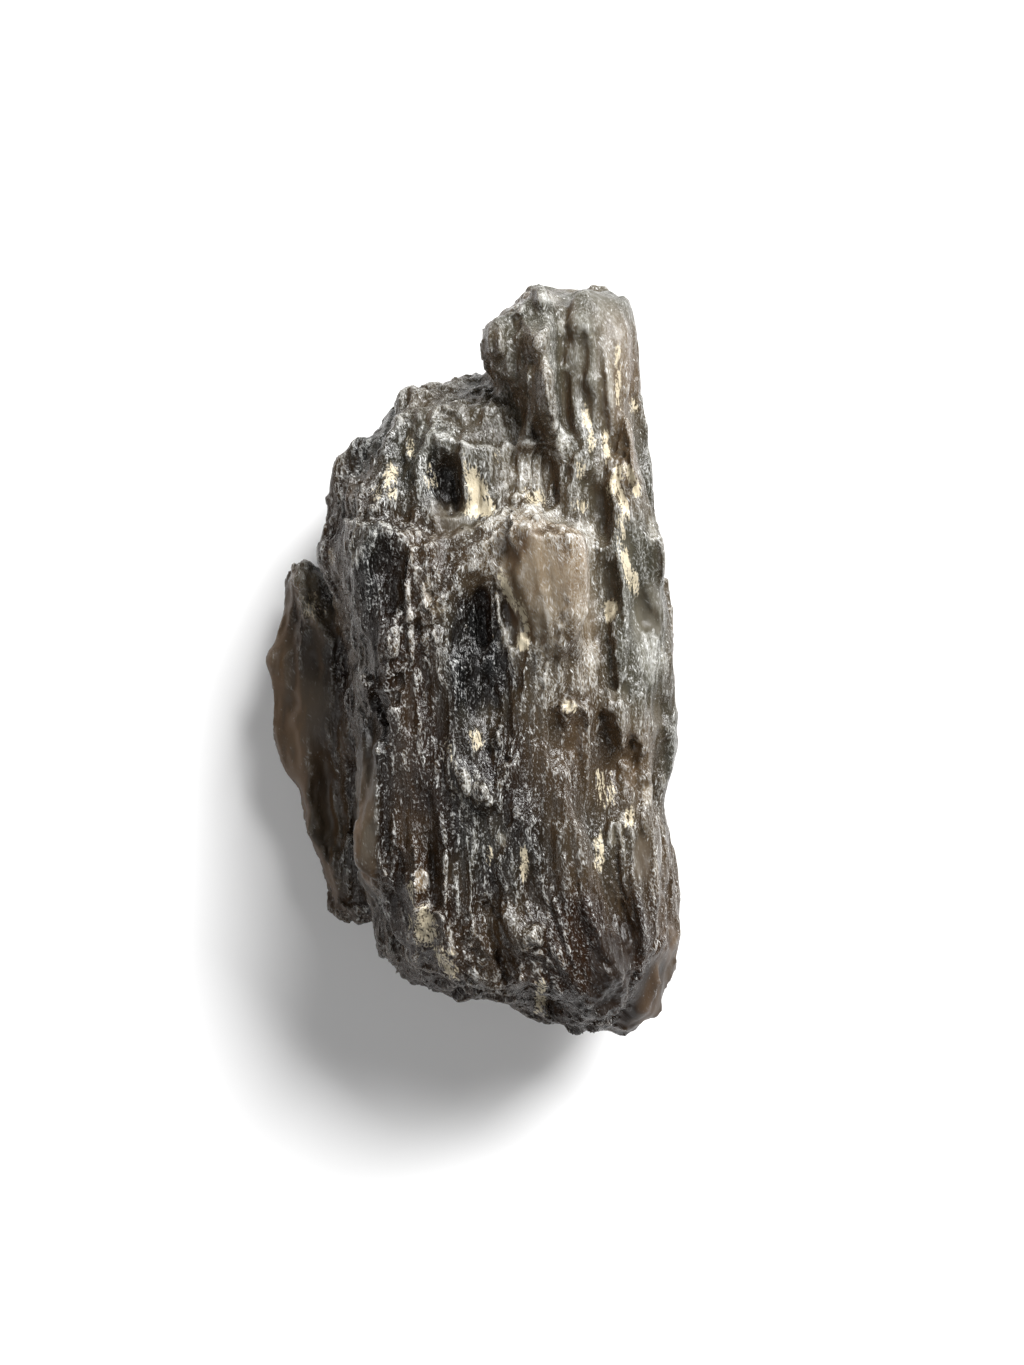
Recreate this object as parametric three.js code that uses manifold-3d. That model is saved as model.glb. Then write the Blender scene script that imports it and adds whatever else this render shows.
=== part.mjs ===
// Agni manite stone: one natural piece of dark glass, etched into long flutes, lying on its back.
//
// Millimetres, +Z up. +X is the right and +Y the top of the front face, which looks up. The origin is on the
// resting plane, under the middle of the stone's bounding box.
//
// The stone is built as it looks to have formed: thick slabs of glass that break off in steps at different
// heights, with raised ribs and knobs along their length, and hollows that etching has eaten into them. The
// resting face is a flat fracture. One skin is drawn tight over the slabs and carries the ribs and hollows.

import * as THREE from "three";
import { mergeVertices } from "three/addons/utils/BufferGeometryUtils.js";
import Module from "manifold-3d";

// ---- Driving dimensions, mm ----

const LENGTH = 31; // along Y
const WIDTH = 17.2; // along X
const HEIGHT = 12; // from the resting face to the crest of the smooth boss

const SLAB_POINT_GAP = 0.6; // spacing of the points round a slab's outline

// ---- Slabs ----
// Each outline is the slab's widest section, clockwise from above. The crest is its highest place: the
// levels, each a share of the outline and a height, close in on it, so a slab is steepest on the side next
// to its crest. The fall is how much lower the slab gets for each millimetre away from the crest, along X
// and along Y.

const SLABS = {
  body: {
    outline: [
      [-3.0, 11.2], [-1.7, 11.5], [-0.4, 11.4], [1.1, 11.3], [3.6, 12.6], [5.7, 13.0], [6.9, 12.1],
      [7.3, 9.9], [7.8, 7.0], [8.2, 4.7], [8.6, 2.0], [8.7, 0.3],
      [8.4, -1.8], [8.8, -2.8], [8.7, -3.6], [8.5, -4.8],
      [8.2, -6.1], [8.6, -7.2], [8.8, -10.5], [8.8, -12.1], [8.6, -13.4], [8.3, -14.3], [7.4, -15.3],
      [6.7, -15.5], [5.6, -15.6], [4.7, -15.5], [3.1, -15.1], [1.9, -14.8], [0.7, -14.3], [-0.8, -13.7],
      [-2.5, -13.7], [-3.3, -13.2], [-3.9, -12.4], [-4.3, -11.5], [-4.6, -10.0], [-5.1, -7.9], [-5.3, -5.8],
      [-5.5, -3.3], [-5.3, -1.2], [-5.6, 0.9], [-6.2, 3.0], [-6.7, 4.1], [-6.6, 5.0], [-6.2, 6.8],
      [-5.6, 8.2], [-5.3, 8.8], [-4.4, 9.5], [-3.5, 10.6],
    ],
    crest: [1.6, -1.5],
    levels: [
      [0, -0.7], [0.3, -0.6], [0.54, -0.1], [0.72, 0.6], [0.87, 1.6], [0.97, 3], [1, 4.6], [0.98, 6.4],
      [0.89, 7.8], [0.7, 8.8], [0, 9.4],
    ],
    fall: [0, 0],
  },
  peak: {
    outline: [
      [0.6, 12.1], [0.5, 12.9], [0.7, 13.6], [1.4, 14.2], [1.9, 14.9], [2.4, 15.3], [2.9, 15.6], [3.5, 15.4],
      [3.9, 15.1], [4.2, 15.4], [4.8, 15.5], [5.6, 15.4], [6.3, 15.3], [6.7, 14.5], [6.9, 13.5], [6.9, 12.1],
      [7.2, 10.0], [7.6, 8.0], [7.8, 6.3], [8.1, 4.2], [7.8, 2.5], [6.5, 0.9], [4.9, 0.9], [3.6, 2.5],
      [2.4, 5.8], [1.1, 9.2], [0.6, 10.8],
    ],
    crest: [4.4, 9],
    levels: [
      [0, 1.6], [0.5, 1.8], [0.8, 2.8], [0.95, 3.9], [1, 5.2], [0.97, 6.6], [0.88, 7.7], [0.66, 8.4],
      [0, 8.7],
    ],
    fall: [-0.05, 0.06],
  },
  shoulder: {
    outline: [
      [-3.7, 9.3], [-2.8, 10.5], [-1.5, 10.9], [-0.2, 10.7], [1.1, 10.9], [2.0, 10.6], [2.5, 8.9], [4.2, 8.1],
      [4.4, 6.9], [4.6, 5.3], [4.8, 4.1], [1.1, 3.6], [-2.9, 3.6], [-5.4, 4.2], [-5.8, 5.7], [-5.3, 7.3],
      [-4.6, 8.5],
    ],
    crest: [0.9, 5.4],
    levels: [[0, 5], [0.8, 5], [1, 6.4], [0.98, 7.7], [0.9, 8.7], [0.7, 9.4], [0.4, 9.7], [0, 9.8]],
    fall: [0.04, 0.09],
  },
  plate: {
    outline: [
      [-5.1, 5.5], [-4.0, 5.8], [-2.9, 5.3], [-1.9, 4.9], [-1.0, 4.8], [-0.2, 5.1], [0.5, 5.5], [1.1, 5.7],
      [1.7, 5.8], [2.4, 5.8], [3.0, 5.5], [3.6, 5.5], [4.4, 5.3], [4.8, 4.6], [4.9, 3.4], [5.0, 2.4],
      [5.2, 1.4], [5.5, 0], [5.7, -1.6], [5.4, -4.0], [5.3, -6.5],
      [5.7, -8.9], [6.8, -12.1], [6.5, -14.1], [5.2, -14.7],
      [3.5, -14.4], [1.9, -13.9], [0.3, -13.5], [-1.7, -12.9], [-3.1, -12.1], [-3.8, -10.7], [-4.3, -8.9],
      [-4.5, -6.5], [-4.6, -4.0], [-4.5, -1.8], [-4.8, -0.8], [-4.9, 0.8], [-5.1, 2.4], [-5.5, 4.0],
      [-5.6, 4.8],
    ],
    crest: [0.4, 1.6],
    levels: [
      [0, 5], [0.9, 5.5], [1, 7], [1, 8.4], [0.97, 9.4], [0.92, 10.2], [0.83, 10.8], [0.5, 11.2], [0, 11.3],
    ],
    fall: [0, 0],
  },
  boss: {
    outline: [
      [1.1, 5.5], [1.7, 5.7], [2.4, 5.7], [3.0, 5.5], [3.7, 5.5], [4.5, 5.2], [4.8, 4.6], [4.9, 3.2],
      [4.8, 1.6], [4.2, 0.6], [3.5, 0.2], [2.8, 0.7], [2.2, 1.8], [1.6, 2.9], [1.2, 4.2],
    ],
    crest: [2.9, 4.2],
    levels: [[0, 9.6], [1, 10], [1, 11.2], [0.9, 11.75], [0.6, 11.95], [0, 12]],
    fall: [0, -0.08],
  },
  spur: {
    outline: [
      [0.5, 12.1], [0.5, 12.9], [0.7, 13.5], [1.4, 14.0], [1.9, 14.7], [2.4, 15.1], [2.9, 15.3], [3.4, 15.1],
      [3.7, 14.6], [3.8, 13.4], [3.7, 11.8], [3.6, 10.6], [3.9, 9.4], [4.2, 8.4], [3.6, 7.8], [2.6, 7.9],
      [2.4, 9.4], [2.2, 10.7], [1.3, 11.2],
    ],
    crest: [2.6, 11.6],
    levels: [[0, 5], [0.9, 5.2], [1, 6.6], [0.97, 8.2], [0.8, 9.2], [0.5, 9.7], [0, 9.8]],
    fall: [0, 0.12],
  },
  lobe: {
    outline: [
      [-4.6, 3.4], [-3.1, 0.5], [-3.1, -5.9], [-3.7, -10.1], [-4.7, -11.2], [-5.7, -11.0], [-6.3, -10.1],
      [-6.6, -9.1], [-6.8, -7.8], [-7.3, -7.0], [-7.4, -6.3], [-7.9, -5.4], [-8.4, -4.7], [-8.6, -3.7],
      [-8.8, -2.2], [-8.9, -0.9], [-8.9, 0.1], [-8.7, 1.0], [-8.6, 1.8], [-8.5, 2.3], [-8.2, 2.6],
      [-8.3, 3.2], [-8.0, 3.9], [-7.6, 4.1], [-7.0, 4.1], [-6.4, 3.8],
    ],
    crest: [-5.2, -2.4],
    levels: [
      [0, 0.5], [0.6, 0.7], [0.85, 1.1], [0.97, 1.8], [1, 2.7], [0.97, 3.4], [0.8, 4], [0.4, 4.4], [0, 4.5],
    ],
    fall: [0, 0],
  },
};

// ---- Grain ----
// The glass is a bundle of fibres along Y. Each has a round back, stands a little higher or lower than its
// neighbours and is broken off at its ends.

const GRAIN = {
  width: 1.15,
  length: 5,
  round: 0.32, // from a fibre's back down to the groove beside it
  uneven: 0.5, // between the highest and the lowest fibre
  jitter: 0.8, // share of a fibre's size by which its place varies
  lean: 0.05, // how far its lower end goes to the right for each millimetre down
};
const SEED = 41;

// Ribs and knobs that stand out on the front:
// x, y of the middle, length, width, height, and the lean in degrees, lower end to the right.
const RIBS = [
  // peak
  [3.0, 14.6, 1.3, 1.1, 0.5, 0], [1.8, 14.1, 0.9, 0.7, 0.4, 0], [1.1, 12.8, 2.2, 1.0, 0.5, 0],
  [2.7, 12.5, 1.8, 1.3, 0.7, 0], [3.0, 10.4, 3.6, 1.2, 0.9, 2], [5.0, 14.0, 2.4, 1.8, 0.5, 0],
  // right flank
  [5.6, 11.3, 3.4, 0.5, 0.4, 3], [6.5, 7.8, 5.0, 0.7, 0.5, 8], [6.1, 2.5, 4.6, 0.6, 0.6, 6],
  [7.7, 4.1, 3.0, 0.7, 0.4, 8], [5.9, -2.8, 2.6, 1.0, 0.5, 2], [6.8, -9.8, 4.8, 0.8, 0.5, 6],
  [6.8, -1.5, 3.2, 0.7, 0.5, 4],
  // shoulder and the left rim of the plate
  [-4.7, 6.0, 1.7, 0.9, 0.5, 0], [-3.8, 6.2, 1.1, 0.8, 0.4, 0], [-5.0, 0.8, 1.4, 0.5, 0.5, 0],
  [-4.5, -1.0, 1.8, 0.9, 0.5, 0], [-4.0, -6.5, 6.6, 1.1, 0.6, 0],
  // lobe
  [-7.4, 2.9, 2.0, 1.1, 0.4, 0], [-6.6, 1.4, 2.4, 0.7, 0.4, 30],
  // plate
  [-2.6, 3.0, 3.0, 0.6, 0.5, 0], [-3.4, 0.5, 1.7, 0.9, 0.6, 0], [-2.6, 1.4, 1.4, 0.6, 0.5, 0],
  [-0.3, -5.0, 1.6, 0.6, 0.6, -20], [0.5, -5.5, 1.4, 0.8, 0.6, 20], [2.4, -11.1, 1.5, 1.2, 0.5, 0],
];

// Hollows in the front: x, y of the middle, length, width, depth, and the lean.
const HOLLOWS = [
  // peak
  [1.7, 13.5, 1.2, 0.6, 0.5, 0], [2.8, 9.3, 1.2, 0.8, 0.6, 0], [3.1, 7.4, 2.6, 0.8, 0.9, 2],
  [4.0, 10.2, 3.6, 0.6, 0.8, 8], [4.8, 10.6, 2.0, 0.5, 0.5, 6], [5.7, 9.0, 3.0, 0.9, 0.6, 4],
  [5.8, 6.5, 1.4, 0.5, 0.5, 0], [3.9, 13.4, 1.6, 0.5, 0.5, 5],
  // shoulder
  [-0.6, 9.7, 1.3, 1.5, 0.5, 0], [-1.1, 7.0, 2.7, 1.4, 1.4, 8], [0.2, 6.5, 2.0, 1.1, 0.6, 6],
  [-2.4, 8.5, 1.4, 0.5, 0.4, 0], [-3.2, 7.3, 1.4, 0.7, 0.5, 4], [1.4, 7.5, 2.7, 0.5, 0.4, 0],
  [-4.3, 7.9, 2.1, 1.2, 0.6, -6],
  // plate
  [-3.6, 3.1, 3.2, 1.3, 0.9, 0], [-2.0, 0.4, 0.9, 0.7, 0.4, 0], [0.2, 1.7, 2.7, 1.5, 1.3, 2],
  [1.6, 1.7, 2.1, 0.8, 0.6, 10], [0.2, -1.3, 3.6, 1.7, 0.7, 0], [4.0, -3.1, 1.9, 0.9, 0.5, 2],
  [-4.0, -2.3, 2.2, 0.7, 0.4, 0], [-2.6, -6.0, 2.2, 0.7, 0.5, 0], [-1.5, -8.2, 3.1, 0.5, 0.8, 1],
  [1.1, -11.3, 3.9, 0.8, 0.7, 12], [3.2, -14.1, 0.9, 0.6, 0.5, 0], [-1.9, -10.6, 1.5, 1.0, 0.4, 0],
  // right flank
  [5.3, 6.1, 3.1, 1.0, 0.9, 4], [5.6, 3.0, 2.0, 0.9, 0.7, 4], [7.1, 1.8, 2.2, 1.2, 0.7, 6],
  [7.0, 6.4, 1.3, 0.9, 0.4, 0], [6.5, -4.2, 2.8, 0.9, 0.5, 0], [7.6, -2.4, 2.9, 0.7, 0.4, 4],
  [7.6, -13.5, 3.4, 1.8, 0.6, -32],
  // lobe
  [-6.3, -5.8, 4.3, 0.9, 0.6, 0],
];

// Places where the glass is smooth: x, y of the middle, length, width, the share of the grain that is gone,
// and the lean.
const SMOOTH = [
  [2.6, 3.0, 5.4, 2.9, 1, 0], // the boss
  [7.4, -13.8, 4, 2, 1, 0], // the fracture at the lower right corner
];

// ---- Skins ----
// Each is a capsule bent along a spine inside its slabs, whose points run x, y, z from the lower end to the
// upper end. Facets are counted round the spine, along it, and from its end to the tip.

const MAIN_SKIN = {
  spine: [
    [4.4, -13.2, 4.8], [2.8, -9.5, 5.9], [1.4, -3, 6.3], [1.2, 4.5, 6.3], [2.6, 9, 5.7], [4.1, 13.4, 5.1],
  ],
  round: 84,
  along: 42,
  toTip: 4,
  grainShare: 1,
};
const LOBE_SKIN = {
  spine: [[-5.4, -8.6, 2.6], [-5.9, -5, 2.7], [-6.1, 0, 2.7], [-6.6, 2.4, 2.7]],
  round: 24,
  along: 17,
  toTip: 3,
  grainShare: 0.45,
};

// ---- Solids ----

const wasm = await Module();
wasm.setup();

const CLEARANCE = 40; // farther out than any face of the stone
const WELD = 1e-4;
const { clamp, degToRad, mapLinear } = THREE.MathUtils;

// The closed geometry as a solid, without the slivers that a pole or an axis leaves.
function solidOf(geometry) {
  const bare = geometry.clone();
  bare.deleteAttribute("normal");
  bare.deleteAttribute("uv");
  const { attributes, index } = mergeVertices(bare, WELD);
  const corners = [];
  for (let i = 0; i < index.count; i += 3) {
    const [a, b, c] = index.array.slice(i, i + 3);
    if (a !== b && b !== c && c !== a) corners.push(a, b, c);
  }
  return new wasm.Manifold(
    new wasm.Mesh({
      numProp: 3,
      vertProperties: attributes.position.array,
      triVerts: new Uint32Array(corners),
    }),
  );
}

function geometryOf(solid) {
  const mesh = solid.getMesh();
  const geometry = new THREE.BufferGeometry();
  geometry.setAttribute("position", new THREE.BufferAttribute(mesh.vertProperties, 3));
  geometry.setIndex(new THREE.BufferAttribute(mesh.triVerts, 1));
  return geometry;
}

// A slab is a lathe form whose circles are pulled out to the outline.
function slab({ outline, crest, levels, fall }) {
  const points = outline.map(([x, y]) => new THREE.Vector2(x, y)).reverse();
  const curve = new THREE.SplineCurve([...points, points[0]]);
  const count = Math.round(curve.getLength() / SLAB_POINT_GAP);
  const round = curve.getSpacedPoints(count);
  const profile = levels.map(([share, height]) => new THREE.Vector2(share, height));
  const geometry = new THREE.LatheGeometry(profile, count);
  const middle = new THREE.Vector2(...crest);
  const position = geometry.attributes.position;
  for (let i = 0; i < position.count; i += 1) {
    const level = profile[i % profile.length];
    const corner = round[Math.floor(i / profile.length) % count];
    const reach = corner.clone().sub(middle).multiplyScalar(level.x);
    const drop = fall[0] * reach.x + fall[1] * reach.y;
    position.setXYZ(i, middle.x + reach.x, middle.y + reach.y, level.y - drop);
  }
  return solidOf(geometry);
}

// ---- Relief ----

const ADDRESS_PRIMES = [374761393, 668265263, 2147483647 ^ SEED]; // for a cell's place along x, y and z
const MIXING_PRIMES = [2246822519, 3266489917];

// An even random number from 0 to 1 that is always the same for the same cell and salt.
function cellNumber(cell, salt) {
  let hash = salt;
  cell.forEach((value, axis) => {
    hash ^= Math.imul(value, ADDRESS_PRIMES[axis]);
  });
  hash = Math.imul(hash ^ (hash >>> 15), MIXING_PRIMES[0]);
  hash = Math.imul(hash ^ (hash >>> 13), MIXING_PRIMES[1]);
  return ((hash ^ (hash >>> 16)) >>> 0) / 2 ** 32;
}

// The steps from a cell to itself and to the cells round it.
const STEPS = [-1, 0, 1];
const NEIGHBOURS = STEPS.flatMap((i) => STEPS.flatMap((j) => STEPS.map((k) => [i, j, k])));

// How far the fibre at a point stands out from the slab.
function grainAt({ x, y, z }) {
  const place = [(x + GRAIN.lean * y) / GRAIN.width, y / GRAIN.length, z / GRAIN.width];
  const home = place.map(Math.floor);
  let nearest = Infinity;
  let level = 0;
  for (const step of NEIGHBOURS) {
    const cell = home.map((value, axis) => value + step[axis]);
    const gap = cell.map((value, axis) => {
      const shift = GRAIN.jitter * (cellNumber(cell, axis) - 0.5);
      return value + 0.5 + shift - place[axis];
    });
    const distance = Math.hypot(...gap);
    if (distance < nearest) {
      nearest = distance;
      level = cellNumber(cell, gap.length) - 0.5;
    }
  }
  return GRAIN.uneven * level - GRAIN.round * nearest ** 2;
}

// How much a rib or hollow of full height 1 shows at x, y: a round section, and square but rounded ends.
function markAt(x, y, [midX, midY, length, width, , lean]) {
  const tilt = degToRad(lean);
  const dx = x - midX;
  const dy = y - midY;
  const across = (dx * Math.cos(tilt) + dy * Math.sin(tilt)) / (width / 2);
  const along = (dy * Math.cos(tilt) - dx * Math.sin(tilt)) / (length / 2);
  return clamp(1 - across ** 2, 0, 1) * clamp(1 - along ** 4, 0, 1);
}

// The tallest of the marks at x, y.
function strongest(rows, x, y) {
  const heights = rows.map((row) => row[4] * markAt(x, y, row));
  return Math.max(0, ...heights);
}

// How far the front stands out at x, y: its own ribs and hollows, on top of a share of the grain.
function frontReliefAt(x, y) {
  return strongest(RIBS, x, y) - strongest(HOLLOWS, x, y);
}

function smoothnessAt(x, y) {
  return strongest(SMOOTH, x, y);
}

// A skin's corners are pushed in from outside until they meet the slabs, and then moved by the relief.
function wrap(slabs, { spine, round, along, toTip, grainShare }) {
  const core = new THREE.Mesh(geometryOf(slabs));
  const route = new THREE.CatmullRomCurve3(spine.map((point) => new THREE.Vector3(...point)));
  const length = spine.at(-1)[1] - spine[0][1];
  const skin = new THREE.CapsuleGeometry(1, length, toTip, round, along);
  const { position, normal } = skin.attributes;
  for (let i = 0; i < position.count; i += 1) {
    const place = clamp(position.getY(i), -length / 2, length / 2);
    const root = route.getPoint(mapLinear(place, -length / 2, length / 2, 0, 1));
    const outward = new THREE.Vector3().fromBufferAttribute(normal, i);
    const start = root.clone().addScaledVector(outward, CLEARANCE);
    const ray = new THREE.Raycaster(start, outward.clone().negate());
    const corner = ray.intersectObject(core)[0].point;
    const isFront = outward.z > 0;
    const roughness = isFront ? 1 - smoothnessAt(corner.x, corner.y) : 1;
    const marks = isFront ? frontReliefAt(corner.x, corner.y) : 0;
    const sideways = Math.hypot(outward.x, outward.z); // the grain fades where the skin closes on its tip
    corner.addScaledVector(outward, sideways * roughness * grainShare * grainAt(corner) + marks);
    position.setXYZ(i, corner.x, corner.y, corner.z);
  }
  return solidOf(skin);
}

// ---- The stone ----

const { lobe, ...mainSlabs } = SLABS;
const mainBody = wrap(wasm.Manifold.union(Object.values(mainSlabs).map(slab)), MAIN_SKIN);
const whole = mainBody.add(wrap(slab(lobe), LOBE_SKIN));

// The flat fracture that it rests on: everything under the plane is gone.
const ground = new THREE.BoxGeometry(2 * CLEARANCE, 2 * CLEARANCE, CLEARANCE);
ground.translate(0, 0, -CLEARANCE / 2);
const rested = whole.subtract(solidOf(ground));

// It is brought to its driving size, with its box centred on the origin.
const stoneGeometry = geometryOf(rested);
stoneGeometry.computeBoundingBox();
const size = stoneGeometry.boundingBox.getSize(new THREE.Vector3());
const middle = stoneGeometry.boundingBox.getCenter(new THREE.Vector3());
stoneGeometry.translate(-middle.x, -middle.y, 0);
stoneGeometry.scale(WIDTH / size.x, LENGTH / size.y, HEIGHT / size.z);

const darkGlass = new THREE.MeshStandardMaterial({ color: 0x4b4642, roughness: 0.45, metalness: 0 });

const stone = new THREE.Mesh(stoneGeometry, darkGlass);
stone.name = "stone";

const part = new THREE.Group();
part.add(stone);

export default part;
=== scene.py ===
# %% [markdown]
# # A rough piece of dark natural glass
# The object is one stone: smoky glass that water and soil have etched for a very long time. It broke
# along fibres that run its whole length, so it looks like a bundle of flutes, with ledges where some of
# them end. We start from its plain solid, which already has the outline, the ledges and the largest
# flutes, and give it a fine skin. Everything here is in metres, and lengths on the stone are written in
# millimetres and turned into metres by MM.

# %% The plain solid
import itertools
import math

import bpy
import numpy as np
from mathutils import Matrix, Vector


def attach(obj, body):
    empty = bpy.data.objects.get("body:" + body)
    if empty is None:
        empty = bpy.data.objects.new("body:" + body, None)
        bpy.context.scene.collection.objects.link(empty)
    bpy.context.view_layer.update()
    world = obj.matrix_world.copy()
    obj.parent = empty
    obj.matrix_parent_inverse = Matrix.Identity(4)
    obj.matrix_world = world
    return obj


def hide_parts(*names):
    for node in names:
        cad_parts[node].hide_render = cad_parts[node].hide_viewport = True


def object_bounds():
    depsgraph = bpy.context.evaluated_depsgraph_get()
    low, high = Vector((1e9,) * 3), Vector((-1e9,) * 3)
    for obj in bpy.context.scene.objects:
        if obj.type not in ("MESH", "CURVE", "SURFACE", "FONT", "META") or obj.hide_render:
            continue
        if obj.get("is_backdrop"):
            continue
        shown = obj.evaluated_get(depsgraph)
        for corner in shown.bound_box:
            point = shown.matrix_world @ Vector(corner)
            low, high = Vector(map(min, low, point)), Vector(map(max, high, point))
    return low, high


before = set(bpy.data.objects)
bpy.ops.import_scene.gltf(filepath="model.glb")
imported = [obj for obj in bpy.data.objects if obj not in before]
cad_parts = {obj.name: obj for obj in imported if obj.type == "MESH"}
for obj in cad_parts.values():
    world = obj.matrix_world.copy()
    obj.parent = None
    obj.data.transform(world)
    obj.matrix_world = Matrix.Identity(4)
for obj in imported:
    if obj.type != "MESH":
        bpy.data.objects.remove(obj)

MM = 0.001
cad_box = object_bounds()
low, high = (np.array(corner) / MM for corner in cad_box)
print("the plain solid spans", np.round(high - low, 2), "mm")

# %% [markdown]
# ## A body to work on
# A copy of the solid is loose triangles with long facets. Merging its doubles closes it, a voxel remesh
# gives it even quads to shape, and a Smooth modifier takes the edges of the old facets away. An artist
# would do the same before sculpting: remesh, smooth, and only then add detail.

# %% The body
def select_only(thing):
    bpy.ops.object.select_all(action="DESELECT")
    thing.select_set(True)
    bpy.context.view_layer.objects.active = thing


def apply(thing, kind, **settings):
    """Adds a modifier with these settings and applies it."""
    select_only(thing)
    modifier = thing.modifiers.new(kind.title(), kind)
    for name, value in settings.items():
        setattr(modifier, name, value)
    bpy.ops.object.modifier_apply(modifier=modifier.name)
    print(kind.lower(), "leaves", len(thing.data.vertices), "points")


def merge_doubles(thing, distance):
    select_only(thing)
    bpy.ops.object.mode_set(mode="EDIT")
    bpy.ops.mesh.select_all(action="SELECT")
    bpy.ops.mesh.remove_doubles(threshold=distance)
    bpy.ops.object.mode_set(mode="OBJECT")


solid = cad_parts["stone"]
stone = bpy.data.objects.new("etched_stone", solid.data.copy())
bpy.context.scene.collection.objects.link(stone)
merge_doubles(stone, distance=0.001 * MM)
BODY_VOXEL = 0.2  # millimetres, under half the narrowest flute of the solid
apply(stone, "REMESH", mode="VOXEL", voxel_size=BODY_VOXEL * MM)
apply(stone, "SMOOTH", factor=0.5, iterations=4)

# %% [markdown]
# ## Points as arrays
# The glass has its own structure, and no stock texture has it, so the relief is worked out by our own
# code. NumPy handles all the points at once: we read them, work out how far each one moves, and write
# them back.

# %% Reading and moving points
def points_of(thing):
    """Every point in millimetres, one row each."""
    flat = np.empty(len(thing.data.vertices) * 3, np.float32)
    thing.data.vertices.foreach_get("co", flat)
    return flat.reshape(-1, 3).astype(float) / MM


def normals_of(thing):
    flat = np.empty(len(thing.data.vertices) * 3, np.float32)
    thing.data.vertex_normals.foreach_get("vector", flat)
    return flat.reshape(-1, 3).astype(float)


def put_points(thing, points):
    thing.data.vertices.foreach_set("co", (points * MM).astype(np.float32).ravel())
    thing.data.update()


print("the body spans", np.round(np.ptp(points_of(stone), axis=0), 2), "mm")

# %% [markdown]
# ## Random numbers that belong to a place
# Stone needs randomness that is the same each time. A hash turns the whole-number address of a cell into
# an even random number, so a place always gets the same one, whatever the mesh. Soft noise is built on
# it: it blends the numbers of the eight corners around a point, so it drifts from value to value.

# %% Soft noise
def cell_number(cell, salt):
    """Whole-number addresses to even random numbers from 0 to 1. Another salt gives other numbers."""
    x, y, z = cell.astype(np.int64).T
    mixed = (x * 374761393 + y * 668265263 + z * 1442695041 + salt * 974711279) & 0xFFFFFFFF
    mixed = ((mixed ^ (mixed >> 13)) * 1274126177) & 0xFFFFFFFF
    return ((mixed ^ (mixed >> 16)) & 0xFFFFFF) / 0x1000000


CORNERS = list(itertools.product((0, 1), repeat=3))


def soft_noise(points, size, salt):
    """Smooth noise from 0 to 1, whose lumps have that size in millimetres along x, y and z."""
    place = points / np.array(size)
    home = np.floor(place)
    part = place - home
    part = part * part * (3 - 2 * part)
    total = np.zeros(len(points))
    for corner in CORNERS:
        weight = np.prod(np.where(corner, part, 1 - part), axis=1)
        total += weight * cell_number(home + corner, salt)
    return total


sample = soft_noise(points_of(stone), (2.0, 4.0, 2.0), 1)
print(f"soft noise on the body runs from {sample.min():.2f} to {sample.max():.2f}")

# %% [markdown]
# ## The fibres of the glass
# The fibres lean a little, and at the lower right they sweep to the right. Long cells stand for them: each
# cell has a middle at a random place, and a point belongs to the cell whose middle is nearest. To keep the
# cells simple, we move the points until the fibres stand upright, and look for the cells there.

# %% Long cells
LEAN = 0.05  # millimetres that a fibre goes to the right for each millimetre down
SWEEP_START = -7  # y in millimetres, below which the fibres at the right sweep out
SWEEP = 0.03  # their way to the right is this times the square of the way down from there
JITTER = 0.85  # share of a fibre's size by which its place varies
NEIGHBOURS = list(itertools.product((-1, 0, 1), repeat=3))


def ramp(values, start, end):
    """0 before start, 1 after end, and a smooth rise between them."""
    t = np.clip((values - start) / (end - start), 0, 1)
    return t * t * (3 - 2 * t)


def swept(points):
    """The points, moved sideways until the fibres stand upright: they lean and sweep to the right."""
    x, y = points[:, 0], points[:, 1]
    sweep = SWEEP * np.maximum(SWEEP_START - y, 0) ** 2 * ramp(x, -1.5, 4)
    return points + np.outer(y * LEAN - sweep, (1, 0, 0))


def fibres(points, width, length, salt):
    """For each point: the distance to the nearest fibre's middle, how far it is from that fibre's border,
    the fibre's own random number, and the place along it, below 0 near its lower end and above 0 near its
    upper end."""
    place = swept(points) / np.array((width, length, width))
    home = np.floor(place)
    count = len(points)
    nearest, second = np.full(count, 9.0), np.full(count, 9.0)
    own, along = np.zeros(count), np.zeros(count)
    for step in NEIGHBOURS:
        cell = home + step
        jitter = np.stack([cell_number(cell, salt + axis) for axis in range(3)], axis=1) - 0.5
        gap = place - (cell + 0.5 + JITTER * jitter)
        distance = np.sqrt((gap**2).sum(axis=1))
        closer = distance < nearest
        second = np.where(closer, nearest, np.minimum(second, distance))
        nearest = np.where(closer, distance, nearest)
        own = np.where(closer, cell_number(cell, salt + 3), own)
        along = np.where(closer, gap[:, 1], along)
    return nearest, second - nearest, own, along


moved = swept(points_of(stone)) - points_of(stone)
print(f"the fibres drift sideways by up to {np.ptp(moved[:, 0]):.1f} mm along the stone")

# %% [markdown]
# ## Where the glass is smooth
# A few places are hardly etched: the boss in the middle of the face, a long column on the left, the side
# lobe, the right column of the peak, a younger break at the lower right corner and some small facets.
# Each is a soft oval with its middle, length and width, and the relief fades inside it.

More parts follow.
